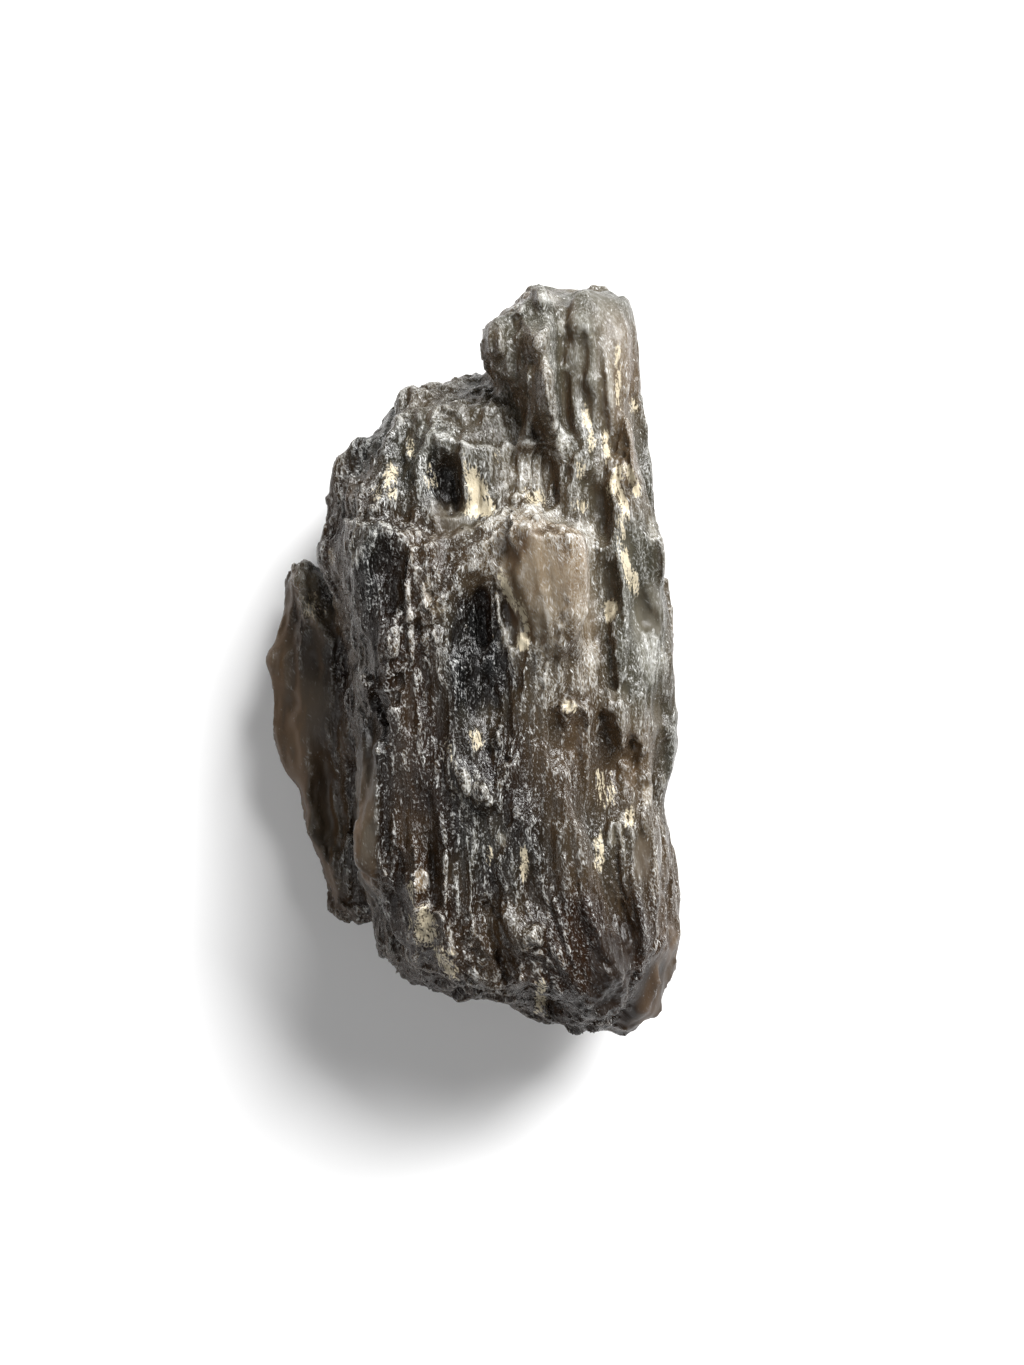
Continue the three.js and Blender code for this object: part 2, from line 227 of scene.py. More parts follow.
# %% Smooth places
# x, y, length, width, lean in degrees (lower end to the right), and how smooth from 0 to 1
SMOOTH_PLACES = [
    (2.5, 2.6, 4.8, 3.0, 0, 0.75),
    (4.4, 2.4, 4.6, 1.3, 0, 0.3),
    (-4.3, -6.6, 7.2, 1.3, 0, 0.8),
    (-7.3, -4.0, 15.0, 4.2, 3, 0.9),
    (7.6, -13.6, 5.0, 2.4, -30, 0.9),
    (5.6, -12.5, 4.0, 2.2, 0, 0.5),
    (5.1, 12.2, 6.0, 3.0, 0, 0.4),
    (-0.8, 5.6, 1.8, 2.0, 0, 0.6),
    (7.0, 1.9, 2.8, 1.4, 0, 0.7),
    (6.8, -8.0, 2.0, 0.9, 0, 0.7),
]


def oval(points, x, y, length, width, lean):
    """Distance from the middle of a leaning oval with flat sides: 0 in the middle and 1 on its rim."""
    turn = math.radians(lean)
    dx, dy = points[:, 0] - x, points[:, 1] - y
    across = (dx * math.cos(turn) + dy * math.sin(turn)) / (width / 2)
    along = (dy * math.cos(turn) - dx * math.sin(turn)) / (length / 2)
    return (abs(across) ** 3 + abs(along) ** 3) ** (1 / 3)


def smoothness(points, normals):
    front = ramp(normals[:, 2], -0.1, 0.3)
    edge = 0.6 * (soft_noise(points, (0.8, 1.6, 0.8), 501) - 0.5)
    total = np.zeros(len(points))
    for *place, share in SMOOTH_PLACES:
        total = np.maximum(total, share * (1 - ramp(oval(points, *place) + edge, 0.5, 1.15)))
    return total * front


hardly_etched = smoothness(points_of(stone), normals_of(stone)) > 0.3
print(f"{100 * hardly_etched.mean():.0f}% of the points are hardly etched")

# %% [markdown]
# ## Flakes
# Etching leaves each fibre as a long flake. Most are scooped out, with sharp ridges between them, and the
# others keep a rounded back. A flake stands up a little at its upper end and sinks towards its lower end,
# where the next one covers it, so the light from above catches the upper ends. The same form repeats at
# smaller sizes, so one function makes all of them.

# %% The form of a flake
SCOOPED_SHARE = 0.7  # of the fibres are hollow, and sharp ridges stay between them
SEAM = 0.18  # width of the groove round a fibre that keeps its rounded back, as a share of the fibre
BROAD = {"width": 1.4, "length": 9.0, "salt": 5, "uneven": 0.22, "lift": 0.2, "groove": 0.28}


def flake_relief(points, width, length, salt, uneven, lift, groove):
    """How far each point stands out, in millimetres: uneven is the spread between fibres, lift is the rise
    from a flake's lower end to its upper end, and groove is the depth of the gap between two flakes."""
    nearest, border, own, along = fibres(points, width, length, salt)
    scooped = nearest**2 - 0.5
    rounded = 0.4 - nearest**2 - 0.4 * (1 - ramp(border, 0.0, SEAM))
    return uneven * (own - 0.5) + lift * along + groove * np.where(own < SCOOPED_SHARE, scooped, rounded)


relief = flake_relief(points_of(stone), **BROAD)
print(f"the broad flakes reach from {relief.min():.2f} to {relief.max():.2f} mm")

# %% [markdown]
# ## Strong and weak flakes
# Etching isn't even, so the strength of the flakes drifts over the stone with soft noise. They are weak in
# the smooth places, flatter on the sides than on the face, and gone where the stone touches the table. At
# the upper right the glass is lighter and calmer, and the small flakes are weaker there. Each point then
# moves along its normal, as a Displace modifier would move it.

# %% Adding flakes
SIDE_RELIEF = 0.5  # the flakes of the sides, as a share of those of the face
SMOOTHED = 0.9  # share of the relief that a fully smooth place loses


def above_the_table(points):
    """1 away from the resting plane and 0 at it, so that the flat face stays flat."""
    return ramp(points[:, 2], 0.05, 0.9)


def light_glass(points):
    """1 at the upper right, where the glass is light and calm and the window light falls, and 0 at the lower
    left.
    """
    return ramp(0.5 * points[:, 1] + points[:, 0], -4.5, 9.0)


def add_flakes(thing, width, length, salt, uneven, lift, groove, calm=0.0):
    points, normals = points_of(thing), normals_of(thing)
    strength = 0.55 + 0.9 * ramp(soft_noise(points, (2.0, 4.0, 2.0), salt + 7), 0.25, 0.75)
    strength *= 1 - SMOOTHED * smoothness(points, normals)
    strength *= 1 - calm * light_glass(points)
    strength *= SIDE_RELIEF + (1 - SIDE_RELIEF) * ramp(normals[:, 2], -0.3, 0.25)
    height = flake_relief(points, width, length, salt, uneven, lift, groove) * strength
    put_points(thing, points + normals * (height * above_the_table(points))[:, None])
    print(f"flakes {width} x {length} mm move points by up to {abs(height).max():.2f} mm")


add_flakes(stone, **BROAD)
add_flakes(stone, width=0.7, length=6.0, salt=11, uneven=0.15, lift=0.12, groove=0.2, calm=0.2)

# %% [markdown]
# ## Lumps of the left wall
# The steep wall above the lobe isn't fluted as evenly as the face: it broke across the fibres in many
# places, and damp soil rounded the stubs. Two sizes of soft noise push it in and out, only where it faces
# left.

# %% Lumps
def add_lumps(thing, sizes_and_heights):
    points, normals = points_of(thing), normals_of(thing)
    wall = ramp(-normals[:, 0], 0.25, 0.65) * ramp(normals[:, 2], -0.5, 0.0)
    height = np.zeros(len(points))
    for salt, (size, most) in enumerate(sizes_and_heights, 61):
        height += most * (2 * soft_noise(points, (size, 1.6 * size, size), salt) - 1)
    put_points(thing, points + normals * (height * wall * above_the_table(points))[:, None])
    print(f"lumps move the left wall by up to {abs(height * wall).max():.2f} mm")


add_lumps(stone, [(1.1, 0.3), (0.5, 0.16)])

# %% [markdown]
# ## Hollows, ribs and ledges of the face
# The larger forms that make this stone the one it is are listed one by one. A hollow has a steep wall and a
# rounded lower end, where it is deepest. A rib is a long rounded swelling. A ledge is an edge that stands
# up along a line and fades downwards, and some have a nick just above. Noise moves the rims of the
# hollows and ledges, so that they are ragged. The forms only move the surface up and down, so the outline
# of the stone stays as it is. First come the lists of where they are.

# %% Places of the hollows, ribs and ledges
# x, y of the middle, length, width, depth, and the lean in degrees (lower end to the right), in millimetres
HOLLOWS = [
    # peak
    (1.7, 13.5, 1.2, 0.7, 0.5, 0), (2.7, 9.3, 1.3, 0.8, 0.7, 0), (3.1, 7.4, 2.5, 0.9, 0.9, 2),
    (3.9, 9.9, 3.2, 0.5, 0.45, 8), (4.6, 10.4, 1.9, 0.4, 0.25, 6), (5.8, 9.2, 3.0, 0.9, 0.3, 4),
    (6.5, 9.0, 2.5, 0.4, 0.2, 8), (3.6, 12.6, 1.2, 0.4, 0.25, 5), (2.4, 10.7, 1.7, 0.4, 0.2, 0),
    (5.7, 7.3, 1.2, 0.5, 0.3, 0), (4.5, 12.4, 2.0, 0.3, 0.2, 3), (5.2, 11.9, 2.6, 0.35, 0.15, 3),
    # shoulder
    (-0.6, 9.7, 1.3, 1.5, 0.25, 0), (-1.1, 7.3, 2.6, 1.3, 0.9, 8), (-0.6, 8.7, 1.2, 0.5, 0.3, 0),
    (1.0, 7.9, 2.5, 0.4, 0.25, 0), (1.6, 7.6, 2.7, 0.4, 0.25, 0), (2.3, 6.6, 1.0, 0.5, 0.3, 0),
    (1.3, 6.5, 0.7, 0.4, 0.25, 0), (-2.4, 8.7, 1.4, 0.5, 0.25, 0), (-3.2, 7.5, 1.4, 0.6, 0.25, 4),
    (-4.1, 8.2, 1.8, 0.6, 0.25, -6), (-1.9, 9.9, 1.7, 0.6, 0.25, 0), (-4.9, 6.9, 1.4, 0.5, 0.25, -8),
    # plate, upper half
    (-3.7, 4.0, 1.8, 0.7, 0.35, 0), (-3.2, 2.9, 2.4, 0.6, 0.45, 0),
    (-2.0, 1.3, 0.8, 0.6, 0.25, 0), (-0.5, 1.5, 2.6, 1.0, 0.5, 0),
    (0.4, 1.6, 3.0, 0.5, 0.5, 2), (1.4, 1.9, 2.9, 0.7, 0.4, 12), (2.0, 1.6, 2.0, 0.5, 0.4, 20),
    (0.2, -1.1, 3.4, 1.3, 0.3, 0), (-1.3, 4.4, 1.6, 0.6, 0.25, 0), (3.4, 1.0, 0.9, 0.35, 0.15, 10),
    # plate, lower half
    (4.1, -3.1, 2.3, 0.9, 0.3, 2), (1.7, -4.9, 1.7, 0.4, 0.25, 0), (-4.2, -2.0, 2.2, 0.6, 0.25, 0),
    (-2.6, -6.4, 2.3, 0.7, 0.3, 0), (-1.6, -6.1, 1.7, 0.5, 0.25, 0), (-1.6, -8.4, 3.3, 0.45, 0.7, 1),
    (1.0, -10.9, 3.6, 0.7, 0.4, 14), (3.3, -13.9, 1.0, 0.6, 0.25, 0), (-2.5, -1.6, 2.6, 0.5, 0.25, 0),
    (3.1, -6.4, 2.9, 0.5, 0.2, 2), (2.3, -8.4, 2.2, 0.45, 0.25, 4), (-0.4, -8.4, 2.6, 0.45, 0.25, 3),
    (0.3, -3.2, 1.7, 0.4, 0.25, 0), (-1.3, -2.4, 2.9, 0.45, 0.25, 0), (5.5, -9.6, 3.4, 1.5, 0.3, 14),
    (-3.0, -9.0, 2.0, 0.5, 0.25, 2), (0.9, -7.0, 2.6, 0.4, 0.2, 3), (2.1, -12.6, 1.5, 0.4, 0.2, 8),
    # right flank
    (5.2, 6.1, 3.1, 0.9, 0.7, 4), (5.6, 3.0, 2.2, 0.8, 0.4, 4), (7.1, 1.9, 2.5, 1.0, 0.5, 16),
    (7.2, 6.0, 2.0, 1.0, 0.3, 4), (5.7, -1.2, 0.9, 0.35, 0.25, 0), (6.2, -1.2, 0.9, 0.35, 0.25, 0),
    (6.4, -3.9, 2.6, 0.8, 0.25, 2), (5.4, -5.2, 2.7, 0.4, 0.25, 0), (7.6, -2.4, 2.9, 0.5, 0.25, 4),
    (5.9, 6.8, 1.2, 0.35, 0.25, 8), (6.3, 4.4, 1.6, 0.4, 0.2, 10),
    # lobe
    (-6.2, -5.8, 4.4, 0.9, 0.4, 6), (-7.0, 0.9, 2.2, 0.5, 0.15, 10),
]
# the same for the ribs, with a height in place of the depth
RIBS = [
    # peak
    (3.0, 14.6, 1.2, 1.1, 0.5, 0), (1.8, 14.1, 0.9, 0.8, 0.45, 0), (0.9, 12.9, 2.0, 0.9, 0.5, 0),
    (2.7, 12.8, 1.9, 1.3, 0.75, 0), (3.1, 10.8, 3.2, 1.1, 0.9, 2), (5.6, 10.4, 3.2, 0.4, 0.25, 3),
    (6.6, 8.0, 5.0, 0.5, 0.3, 8), (5.2, 4.7, 0.8, 0.6, 0.3, 0),
    # plate
    (-5.1, 2.0, 4.4, 0.6, 0.3, 3), (-4.5, -1.0, 1.7, 0.9, 0.4, 0), (-2.7, 3.2, 3.0, 0.5, 0.45, 2),
    (-3.3, 0.6, 1.5, 0.8, 0.5, 0), (-2.5, 1.7, 1.2, 0.5, 0.35, 0), (0.75, 1.5, 2.4, 0.25, 0.4, 0),
    (-0.4, -4.7, 1.8, 0.5, 0.35, 24), (0.4, -5.4, 1.2, 0.8, 0.35, 20), (-1.1, -8.7, 2.3, 0.35, 0.3, 0),
    (2.4, -11.1, 1.4, 1.1, 0.3, 0), (-4.8, 6.0, 1.5, 0.8, 0.35, 0), (-3.9, 6.2, 0.9, 0.7, 0.35, 0),
    (2.0, -1.2, 2.9, 0.4, 0.25, 0), (3.6, -0.2, 2.5, 0.6, 0.25, 2), (1.0, -3.2, 1.0, 0.6, 0.3, 8),
    (-2.4, 5.4, 1.2, 0.6, 0.3, 0), (-0.2, 4.7, 1.6, 0.4, 0.25, 12),
    # right flank
    (6.1, 2.5, 4.6, 0.4, 0.35, 6), (7.8, 4.1, 2.5, 0.5, 0.25, 8), (6.8, -9.8, 4.6, 0.6, 0.3, 6),
    (5.9, -2.4, 2.3, 0.9, 0.35, 2), (7.0, -6.4, 1.6, 0.6, 0.25, 0),
]
# the upper edge of the plate and the rim of the boss, from left to right
PLATE_EDGE = [
    (-5.3, 5.8), (-4.3, 5.5), (-2.9, 5.4), (-1.7, 5.1), (-0.8, 5.1), (0.2, 5.5), (1.2, 5.9), (1.8, 6.0),
]
BOSS_RIM = [
    (0.8, 5.3), (1.5, 5.9), (2.2, 6.1), (2.8, 6.0), (3.3, 5.7), (4.4, 5.5), (4.9, 4.9), (5.0, 4.2),
]
# height, how far it fades downwards, how round its edge is, depth of the nick above it, and its edge
LEDGES = [
    (0.7, 1.6, 0.1, 0.3, PLATE_EDGE),
    (0.25, 2.2, 0.3, 0.0, BOSS_RIM),
    (0.3, 0.9, 0.1, 0.0, [(-4.2, 9.9), (-3.0, 11.2), (-1.7, 11.5), (-0.4, 11.3), (0.7, 11.0)]),
    (0.35, 0.8, 0.1, 0.15, [(-1.6, 9.2), (-0.6, 8.7), (0.4, 8.6), (1.4, 8.6), (2.6, 8.7)]),
    (0.35, 0.7, 0.1, 0.15, [(2.7, 10.2), (3.6, 9.4), (4.3, 8.6)]),
    (0.35, 0.8, 0.1, 0.15, [(-2.6, 1.6), (-1.9, 2.3), (-0.9, 2.6)]),
    (0.3, 0.8, 0.1, 0.15, [(3.6, -1.9), (4.2, -1.7), (4.9, -2.1)]),
    (0.3, 0.8, 0.1, 0.1, [(5.4, -6.6), (6.0, -6.3), (6.6, -6.9)]),
    (0.25, 0.7, 0.1, 0.1, [(-2.5, -10.0), (-1.7, -9.7), (-0.9, -10.4)]),
]
print(len(HOLLOWS), "hollows,", len(RIBS), "ribs and", len(LEDGES), "ledges")

# %% [markdown]
# ## Hollows and ledges with ragged rims
# One function says how much of a point lies in a hollow, and one gives the rise of a ledge, the nick above
# it and the line along its edge, which the material paints as a highlight where light would catch it. Both
# add the same noise, the rag, to the distance from the rim.

# %% Rims
RAG_SIZE = 0.45  # millimetres across the fibres
NICK_FADE = 0.5  # millimetres above the edge over which a nick rises back
LIT_EDGE_WIDTH = 0.2  # half the width in millimetres of the line along a ledge's edge that is painted as a highlight


def ragged(points, size, salt):
    """Noise around 0, long in the direction of the fibres, that moves a rim in and out."""
    coarse = soft_noise(points, (size, 4 * size, size), salt)
    fine = soft_noise(points, (size / 2, 1.5 * size, size / 2), salt + 1)
    return coarse + fine - 1


def hollow_share(points, x, y, length, width, lean, rag):
    """1 on the floor of a hollow and 0 outside it. Rag moves its rim, and its upper end rises gently."""
    upper = np.clip(2 * (points[:, 1] - y) / length, 0, 1)
    rim = oval(points, x, y, length, width, lean) + 0.75 * rag
    return 1 - ramp(rim, 0.55 - 0.45 * upper, 1.15)


def ledge_forms(points, height, fade, rounding, nick_depth, edge, rag):
    """The rise of a ledge below its edge, the depth of the nick just above it, and how near its edge is."""
    xs, ys = np.array(edge).T
    below = np.interp(points[:, 0], xs, ys) + 0.3 * rag - points[:, 1]
    left_end = ramp(points[:, 0], xs[0] - 0.1, xs[0] + 2 * rounding)
    ends = left_end * (1 - ramp(points[:, 0], xs[-1] - 0.3, xs[-1] + 0.1))
    lip = height * ends * ramp(below, -0.05, rounding) * np.exp(-np.maximum(below - rounding, 0) / fade)
    nick = nick_depth * ends * ramp(-below, 0.0, 0.1) * np.exp(-np.maximum(-below, 0) / NICK_FADE)
    return lip, nick, ends * (1 - ramp(abs(below), 0.0, LIT_EDGE_WIDTH))


rag = ragged(points_of(stone), RAG_SIZE, 71)
print(f"the rag runs from {rag.min():.2f} to {rag.max():.2f}")

# %% [markdown]
# ## Shaping the face
# Each form gives every point a height. Where forms overlap, the highest rib or ledge and the deepest hollow
# count, so they don't pile up. The same function later tells the material where the floors of the hollows
# are, which it paints darker, partly as shade, and where the edges of the ledges are, which it paints as
# highlights. Half of the height is given now and half after the next remesh.

# %% Shaping with the forms
def face_forms(points, normals):
    """How far the face moves up, how much of each point is a hollow's floor, and how near an edge is."""
    front = ramp(normals[:, 2], 0.0, 0.35)
    rag = ragged(points, RAG_SIZE, 71)
    raised, sunk, floor, edge = np.zeros((4, len(points)))
    for x, y, length, width, height, lean in RIBS:
        out = np.minimum(oval(points, x, y, length, width, lean), 1)
        raised = np.maximum(raised, height * (1 - out**2))
    for ledge in LEDGES:
        lip, nick, lit_edge_line = ledge_forms(points, *ledge, rag)
        edge = np.maximum(edge, lit_edge_line)
        raised = np.maximum(raised, lip)
        sunk = np.maximum(sunk, nick)
    for x, y, length, width, depth, lean in HOLLOWS:
        share = hollow_share(points, x, y, length, width, lean, rag)
        lower_end = 0.6 - 0.5 * np.clip((points[:, 1] - y) / length, -0.5, 0.5)
        sunk = np.maximum(sunk, depth * share * lower_end)
        floor = np.maximum(floor, share)
    return (raised - sunk) * front, floor * front, edge * front


def shape_face(thing, strength):
    points, normals = points_of(thing), normals_of(thing)
    lift, _, _ = face_forms(points, normals)
    points[:, 2] += strength * lift * above_the_table(points)
    put_points(thing, points)
    print(f"the face moves from {lift.min():.2f} to {lift.max():.2f} mm")


shape_face(stone, strength=0.5)

# %% [markdown]
# ## A finer skin
# The forms and flakes of the next size are narrower than the points of the first mesh, so it is remeshed
# finer. The face is then shaped a second time, which makes the walls of its hollows crisp.

# %% Finer flakes
FINE_VOXEL = 0.09  # millimetres, about a quarter of the width of the finest flakes
apply(stone, "REMESH", mode="VOXEL", voxel_size=FINE_VOXEL * MM)
shape_face(stone, strength=0.5)
add_flakes(stone, width=0.34, length=3.2, salt=31, uneven=0.07, lift=0.06, groove=0.12, calm=0.55)

# %% [markdown]
# ## A mesh of a reasonable size
# The finished skin is thinned by the Decimate modifier, which takes points away where the surface is
# flattest. A vertex group thins the underside first, because nobody sees it there, and leaves more
# triangles to the face. The skin is then fitted to the box of the plain solid, because the relief moved
# its outline a little. Smooth shading hides the borders between the small triangles.

# %% Thinning and fitting
MOST_TRIANGLES = 194000  # the most triangles that the finished stone keeps; a mesh of 200,000 or more is too heavy for one piece
BACK_KEPT = 0.15  # share of the back's triangles that stay
BACK_HEIGHT = 1.2  # millimetres above the table; what is lower counts as the back


def triangle_count(thing):
    return sum(len(face.vertices) - 2 for face in thing.data.polygons)


apply(stone, "TRIANGULATE")
points, normals = points_of(stone), normals_of(stone)
behind = (normals[:, 2] < -0.1) | (points[:, 2] < BACK_HEIGHT)
group = stone.vertex_groups.new(name="behind")
group.add(np.flatnonzero(behind).tolist(), 1.0, "REPLACE")
back_share = behind.mean()
print("before thinning:", triangle_count(stone), "triangles")
print(f"{100 * back_share:.0f}% of the points are behind")
apply(stone, "DECIMATE", ratio=1 - back_share + BACK_KEPT * back_share, vertex_group="behind")
print("with a plain back:", triangle_count(stone), "triangles")
apply(stone, "DECIMATE", ratio=min(1, MOST_TRIANGLES / triangle_count(stone)))
points = points_of(stone)
spread = points.max(axis=0) - points.min(axis=0)
points = (points - points.min(axis=0)) / spread * (high - low) + low
put_points(stone, points)
select_only(stone)
bpy.ops.object.shade_smooth()
print("after thinning:", triangle_count(stone), "triangles")

# %% [markdown]
# ## What the surface is like at each point
# Etched glass is matt and pale where it stands out and rubs against things, and dark and clear in its
# hollows. Silt has dried in some grooves. Light and shade are painted in here as well: highlights where
# the window light catches crests, ledges and small facets, and shade on the walls turned away from it, in
# deep hollows and at the lower left. A material can't know this, so we measure it here and store it on the
# points, as vertex paint does. Each point gets these values: frost (how matt, with some painted light and
# shade), glint (how many painted glints: white specks that stand for light caught by facets), silt, warmth
# (from grey glass to brown), body (from dark glass to light, with some painted light at the upper right
# and painted shade over deep hollows), smooth, and a bend that makes the drawn fibres lean, sweep and
# wander. Some of it is the history of this one stone, so the patches of silt, the rubbed places, the places
# of painted light and shade, and the lighter and darker glass come from lists of soft ovals.

# %% Places of the silt, the rubbing and the tones
# x, y, length, width, lean of each patch of silt, and how much of it there is
SILT = [
    # beside the grooves of the peak
    (4.7, 9.2, 2.2, 0.45, 8, 0.9), (5.4, 8.8, 1.6, 0.4, 6, 0.8), (6.6, 10.4, 1.0, 0.4, 0, 0.9),
    (5.9, 11.6, 2.6, 0.2, 0, 0.7), (4.4, 7.6, 1.0, 0.5, 10, 0.6),
    # round the large hollow of the flank
    (5.8, 7.2, 1.5, 0.5, -20, 1.0), (6.5, 7.2, 1.4, 0.45, 25, 1.0), (6.1, 6.3, 1.6, 0.45, 10, 0.9),
    (6.0, 5.2, 1.6, 0.4, 6, 0.9), (6.3, 3.6, 2.2, 0.6, 16, 0.9), (5.6, 1.9, 0.9, 0.5, 0, 1.0),
    # shoulder
    (0.2, 6.9, 2.3, 0.9, 14, 1.0), (0.3, 6.1, 0.8, 1.3, 0, 1.0), (-2.5, 8.6, 1.0, 0.35, 0, 0.8),
    (-3.2, 7.5, 1.2, 0.55, 0, 0.9), (-3.5, 6.7, 0.7, 1.1, 0, 0.6), (1.0, 8.2, 1.0, 0.5, 0, 0.5),
    (2.6, 6.5, 0.7, 1.0, 0, 0.5), (4.4, 6.2, 0.6, 0.8, 0, 0.5), (-1.7, 7.3, 1.0, 0.5, 20, 0.5),
    # along the boss and below it
    (1.5, 2.6, 1.8, 0.35, 22, 1.0), (2.1, 1.7, 1.8, 0.3, 16, 0.8), (2.1, 0.7, 0.8, 0.55, 0, 1.0),
    (4.0, -1.9, 0.7, 0.8, 10, 0.9),
    # lower part of the plate
    (0.3, -3.2, 1.0, 0.8, 8, 0.7), (2.1, -8.0, 1.6, 0.45, 4, 0.8), (5.4, -5.2, 1.6, 0.9, 0, 0.5),
    (6.3, -6.3, 0.9, 0.4, 0, 0.8), (-1.9, -10.7, 1.6, 1.2, 14, 0.8), (-1.0, -12.0, 1.6, 0.7, 26, 0.7),
    (2.8, -13.8, 2.0, 0.6, 6, 0.9), (5.1, -7.6, 1.7, 0.5, 0, 0.7), (-2.3, -9.2, 1.0, 0.6, 0, 0.5),
    (0.7, -7.7, 1.2, 0.5, 14, 0.6), (-0.9, -3.6, 1.2, 0.7, 0, 0.4),
    # lobe
    (-6.6, 2.4, 1.4, 1.0, 20, 0.3),
]
# x, y, length, width, lean of each place that is made matt and pale, and how much; below 0 it is clearer
# and darker. Some are rubbed glass, and others are painted highlights and painted shade, as marked below
RUBBED_AND_PAINTED_LIGHT = [
    # pale: peak, terrace, boss and right side; the band along the top rim of the boss is a painted highlight
    (4.9, 12.8, 4.4, 3.4, 0, 0.35), (6.0, 9.0, 7.0, 2.4, 4, 0.15), (2.8, 11.6, 6.0, 1.8, 0, 0.25),
    (2.2, 8.2, 4.0, 4.0, 0, 0.7), (-1.4, 9.6, 3.0, 4.0, 0, 0.25), (2.5, 2.8, 5.0, 3.4, 0, 1.0),
    (4.5, 2.6, 5.8, 1.6, 0, 0.7), (2.4, 5.6, 1.2, 3.2, 0, 1.2), (4.4, 5.0, 1.4, 1.4, 0, 1.0),
    (3.8, -0.6, 2.4, 3.0, 0, 0.4), (7.3, 0.1, 2.4, 1.3, 8, 1.1),
    (6.0, -2.6, 4.0, 2.6, 0, 0.15), (5.9, -7.0, 2.4, 2.2, 0, 0.15),
    # painted highlights: the brightest small facets and knobs, where the light glints
    (-1.7, 2.7, 1.4, 0.4, 4, 1.2), (1.4, 3.2, 0.5, 0.6, 0, 1.5), (3.9, -1.8, 0.6, 0.7, 0, 1.5),
    (1.2, -7.2, 0.8, 0.6, 0, 1.4), (5.8, -7.1, 1.0, 0.6, 0, 1.6), (7.2, -5.4, 0.8, 0.6, 0, 1.4),
    (-2.0, -8.8, 0.9, 0.6, 0, 1.3), (7.3, 5.3, 1.2, 0.4, 0, 1.2), (-4.6, 4.1, 0.8, 0.5, 0, 1.2),
    (-5.7, 4.2, 0.8, 0.4, 0, 1.2), (4.6, 4.4, 2.2, 0.9, 0, 1.2), (4.9, 0.3, 1.6, 0.6, 0, 1.3),
    (-1.2, 2.0, 0.5, 1.0, 0, 0.7), (3.0, 14.6, 0.6, 1.0, 0, 1.1), (1.8, 14.1, 0.5, 0.7, 0, 1.0),
    (3.65, 13.5, 0.9, 0.6, 0, 1.3), (4.4, 13.6, 1.7, 0.3, 40, 1.2), (3.1, 11.9, 0.9, 1.0, 0, 1.0),
    (3.5, 9.1, 2.2, 0.35, 43, 1.2), (5.6, 11.2, 2.4, 0.25, 3, 1.0), (0.9, 5.4, 0.4, 1.6, 0, 0.8),
    # other pale and clear places; at the lower right corner the darker, clearer glass is partly the smooth
    # break and partly painted shade
    (-4.9, 5.0, 2.0, 1.6, 0, 0.2), (-4.1, -6.6, 7.4, 1.4, 0, -0.3),
    (-0.4, -5.1, 1.6, 2.0, 0, 0.4), (-1.8, -11.4, 2.4, 3.0, 0, 0.25), (2.4, -11.2, 1.6, 1.4, 0, 0.3),
    (7.6, -13.6, 5.0, 2.6, -30, -0.6), (5.3, -12.0, 6.0, 4.0, 0, -0.7), (0.5, -3.3, 1.4, 1.2, 0, 0.25),
    # painted shade, away from the window light: the left side of the plate and the lower left
    (-3.6, 2.6, 4.6, 1.6, 0, -0.8), (0.0, 1.0, 4.2, 2.0, 0, -0.8), (0.2, -1.4, 4.0, 2.2, 0, -0.6),
    (-3.4, -1.6, 5.0, 2.4, 0, -0.35), (-2.2, -6.4, 5.0, 2.2, 0, -0.45), (5.4, -9.8, 3.8, 2.4, 14, -0.5),
    (3.0, -6.0, 6.0, 3.6, 0, -0.2), (1.5, -3.4, 3.0, 4.0, 0, -0.15), (-7.2, -4.0, 14.0, 3.4, 3, -0.1),
    (-3.4, -10.4, 4.0, 1.6, 0, -0.25), (0.9, -11.2, 3.4, 0.9, 14, -0.3),
]
# the same for the glass itself, which is light where it is thin or full of cracks; below 0 it is darker,
# and the dark ovals over the deep hollows are partly darker glass and partly painted shade
BODY_TONE = [
    (-7.3, -4.0, 15.0, 4.2, 3, 0.3), (-6.8, 2.7, 3.0, 1.3, 20, 0.95), (-4.3, -6.6, 7.2, 1.3, 0, 0.3),
    (5.3, -12.4, 6.0, 5.0, -10, -0.5), (0.8, -11.6, 4.4, 3.0, 0, 0.25),
    (-3.6, 2.6, 4.6, 2.0, 0, -0.4), (0.2, 0.6, 5.0, 2.6, 0, -0.9), (3.2, 8.6, 5.0, 2.0, 0, -0.15),
    (7.1, 1.9, 2.6, 1.2, 14, -0.3), (-1.1, 7.3, 2.8, 1.4, 8, -0.5), (1.2, 2.0, 3.0, 1.4, 0, -0.4),
]
print(len(SILT), "patches of silt,", len(RUBBED_AND_PAINTED_LIGHT), "rubbed or clear places,", len(BODY_TONE), "tones")

# %% [markdown]
# ## Crests and rises
# A crest stands above the points right round it, and a rise stands above a wider ring of them. To measure
# both, each point is compared with the mean of its neighbours, taken a few times or many times. A pit or a
# dip gets a value below 0.

# %% Height above the surroundings
NEAR_ROUNDS, WIDE_ROUNDS = 3, 24  # how often the skin is smoothed for the near and the wide surroundings
CREST_HEIGHT = 0.045  # millimetres above the near surroundings that make a full crest
RISE_HEIGHT = 0.225  # the same for the wide surroundings


def neighbour_mean(thing, values, rounds):
    """The values, averaged over each point and its neighbours that many times."""
    ends = np.empty(len(thing.data.edges) * 2, np.int32)
    thing.data.edges.foreach_get("vertices", ends)
    a, b = ends.reshape(-1, 2).T
    count = len(values)
    links = 1.0 + np.bincount(a, minlength=count) + np.bincount(b, minlength=count)
    columns = np.atleast_2d(values.T)
    for _ in range(rounds):
        columns = np.array([
            (c + np.bincount(a, c[b], count) + np.bincount(b, c[a], count)) / links for c in columns
        ])
    return columns.T if values.ndim > 1 else columns[0]


